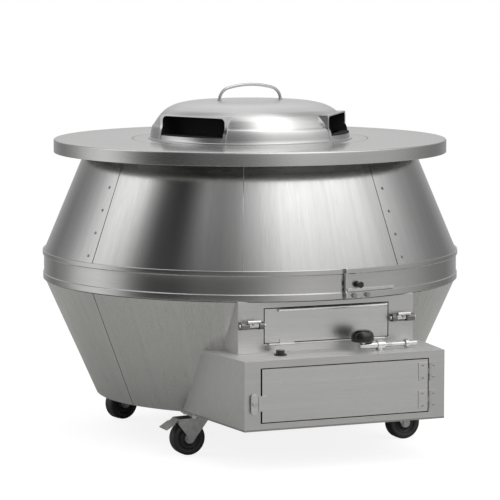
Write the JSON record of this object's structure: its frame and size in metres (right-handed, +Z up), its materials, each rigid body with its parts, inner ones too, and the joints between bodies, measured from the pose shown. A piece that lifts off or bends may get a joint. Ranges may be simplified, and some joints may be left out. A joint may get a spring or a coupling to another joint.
{
  "type": "clay tandoor oven",
  "caption": "Gas tandoor oven: a clay pot in a double-cone steel casing with a round worktop, vented lid, burner flap, tray door and braked casters.",
  "frame": {"origin": "on the floor under the middle of the whole object's box, which is 40.8 mm in front of the clay pot's upright axis", "axes": "+Z up, -Y towards the burner flap and the tray door, +X to the right of someone who faces the door"},
  "size_m": [1.113, 1.1946, 0.9306],
  "materials": {
    "brushed_sheet": "satin",
    "satin_steel": "satin",
    "bright_steel": "gloss",
    "dark_steel": "matte",
    "zinc_plate": "satin",
    "fired_clay": "matte",
    "mineral_wool": "matte",
    "cast_iron": "matte",
    "white_ceramic": "gloss",
    "chromed_brass": "gloss",
    "brass_pipe": "satin",
    "black_plastic": "gloss",
    "wheel_rubber": "satin"
  },
  "bodies": {
    "casing": {"base_plate": "dark_steel", "deck_legs": "dark_steel", "pot_deck": "dark_steel", "lower_panel_1": "brushed_sheet", "lower_panel_2": "brushed_sheet", "lower_panel_3": "brushed_sheet", "lower_panel_4": "brushed_sheet", "upper_panel_1": "brushed_sheet", "upper_panel_2": "brushed_sheet", "upper_panel_3": "brushed_sheet", "upper_panel_4": "brushed_sheet", "belly_band": "brushed_sheet", "inner_hoop": "dark_steel", "band_clamp_strap": "bright_steel", "band_clamp_knob": "black_plastic", "band_clamp_bolts": "dark_steel", "panel_rivets": "bright_steel", "worktop": "brushed_sheet", "top_ring": "brushed_sheet", "mouth_collar": "bright_steel", "clay_pot": "fired_clay", "insulation": "mineral_wool", "burner_housing": "brushed_sheet", "flap_hinge": "bright_steel", "bolt_guides": "dark_steel", "tray_housing": "brushed_sheet", "door_hinges": "bright_steel", "tray_runners": "dark_steel", "burner_ring": "cast_iron", "venturi_tube": "cast_iron", "flame_deflector": "dark_steel", "spark_electrode": "white_ceramic", "gas_valve": "chromed_brass", "gas_pipe": "brass_pipe", "gas_inlet": "chromed_brass", "igniter_body": "black_plastic", "caster_plates": "zinc_plate", "caster_bolts": "dark_steel"},
    "lid": {"lid_dome": "satin_steel", "lid_vent_hoods": "satin_steel", "lid_handle": "bright_steel", "lid_handle_nuts": "bright_steel"},
    "flap": {"burner_flap": "brushed_sheet"},
    "left_bolt": {"flap_bolt_left": "bright_steel"},
    "right_bolt": {"flap_bolt_right": "bright_steel"},
    "knob": {"gas_knob": "black_plastic"},
    "button": {"igniter_button": "black_plastic"},
    "door": {"tray_door": "brushed_sheet"},
    "door_turn_latch": {"door_latch": "bright_steel"},
    "tray": {"drip_tray": "dark_steel"},
    "swivel_front_left": {"fork_front_left": "zinc_plate"},
    "roller_front_left": {"wheel_front_left": "wheel_rubber"},
    "swivel_front_right": {"fork_front_right": "zinc_plate"},
    "roller_front_right": {"wheel_front_right": "wheel_rubber"},
    "swivel_rear_left": {"fork_rear_left": "zinc_plate"},
    "roller_rear_left": {"wheel_rear_left": "wheel_rubber"},
    "swivel_rear_right": {"fork_rear_right": "zinc_plate"},
    "roller_rear_right": {"wheel_rear_right": "wheel_rubber"},
    "brake_front_left": {"pedal_front_left": "zinc_plate"},
    "brake_front_right": {"pedal_front_right": "zinc_plate"}
  },
  "joints": [
    {"name": "lid_lift", "type": "slide", "parent": "casing", "child": "lid", "axis": [0, 0, 1], "range_m": [0, 0.3]},
    {"name": "flap_hinge_turn", "type": "hinge", "parent": "casing", "child": "flap", "pos_m": [0, -0.4695, 0.302], "axis": [1, 0, 0], "range_deg": [0, 50]},
    {"name": "left_bolt_slide", "type": "slide", "parent": "casing", "child": "left_bolt", "axis": [1, 0, 0], "range_m": [0, 0.012]},
    {"name": "right_bolt_slide", "type": "slide", "parent": "casing", "child": "right_bolt", "axis": [-1, 0, 0], "range_m": [0, 0.012]},
    {"name": "gas_knob_turn", "type": "hinge", "parent": "casing", "child": "knob", "pos_m": [0.072, -0.52545, 0.31], "axis": [0, 0, 1], "range_deg": [0, 210]},
    {"name": "igniter_press", "type": "slide", "parent": "casing", "child": "button", "axis": [0, 0, -1], "range_m": [0, 0.006], "stiffness_N_per_m": 400, "springref_m": -0.003},
    {"name": "door_hinge_turn", "type": "hinge", "parent": "casing", "child": "door", "pos_m": [0.2305, -0.589, 0.194], "axis": [0, 0, 1], "range_deg": [0, 100]},
    {"name": "door_latch_turn", "type": "hinge", "parent": "casing", "child": "door_turn_latch", "pos_m": [-0.25, -0.5912, 0.175], "axis": [0, -1, 0], "range_deg": [0, 90]},
    {"name": "tray_slide", "type": "slide", "parent": "casing", "child": "tray", "axis": [0, -1, 0], "range_m": [0, 0.175]},
    {"name": "front_left_swivel", "type": "hinge", "parent": "casing", "child": "swivel_front_left", "pos_m": [-0.27, -0.2742, 0.09], "axis": [0, 0, 1], "continuous": true},
    {"name": "front_left_roll", "type": "hinge", "parent": "swivel_front_left", "child": "roller_front_left", "pos_m": [-0.305, -0.2742, 0.044], "axis": [0, -1, 0], "continuous": true},
    {"name": "front_left_brake", "type": "hinge", "parent": "swivel_front_left", "child": "brake_front_left", "pos_m": [-0.332, -0.2742, 0.089], "axis": [0, -1, 0], "range_deg": [0, 12]},
    {"name": "front_right_swivel", "type": "hinge", "parent": "casing", "child": "swivel_front_right", "pos_m": [0.27, -0.2742, 0.09], "axis": [0, 0, 1], "continuous": true},
    {"name": "front_right_roll", "type": "hinge", "parent": "swivel_front_right", "child": "roller_front_right", "pos_m": [0.305, -0.2742, 0.044], "axis": [0, 1, 0], "continuous": true},
    {"name": "front_right_brake", "type": "hinge", "parent": "swivel_front_right", "child": "brake_front_right", "pos_m": [0.332, -0.2742, 0.089], "axis": [0, 1, 0], "range_deg": [0, 12]},
    {"name": "rear_left_swivel", "type": "hinge", "parent": "casing", "child": "swivel_rear_left", "pos_m": [-0.245, 0.3028, 0.09], "axis": [0, 0, 1], "continuous": true},
    {"name": "rear_left_roll", "type": "hinge", "parent": "swivel_rear_left", "child": "roller_rear_left", "pos_m": [-0.27881, 0.29374, 0.044], "axis": [0.2588, -0.9659, 0], "continuous": true},
    {"name": "rear_right_swivel", "type": "hinge", "parent": "casing", "child": "swivel_rear_right", "pos_m": [0.245, 0.3028, 0.09], "axis": [0, 0, 1], "continuous": true},
    {"name": "rear_right_roll", "type": "hinge", "parent": "swivel_rear_right", "child": "roller_rear_right", "pos_m": [0.2625, 0.33311, 0.044], "axis": [-0.866, 0.5, 0], "continuous": true}
  ],
  "couplings": [
    {"joint": "tray_slide", "follows": "door_hinge_turn", "m_per_rad": 0.1}
  ]
}
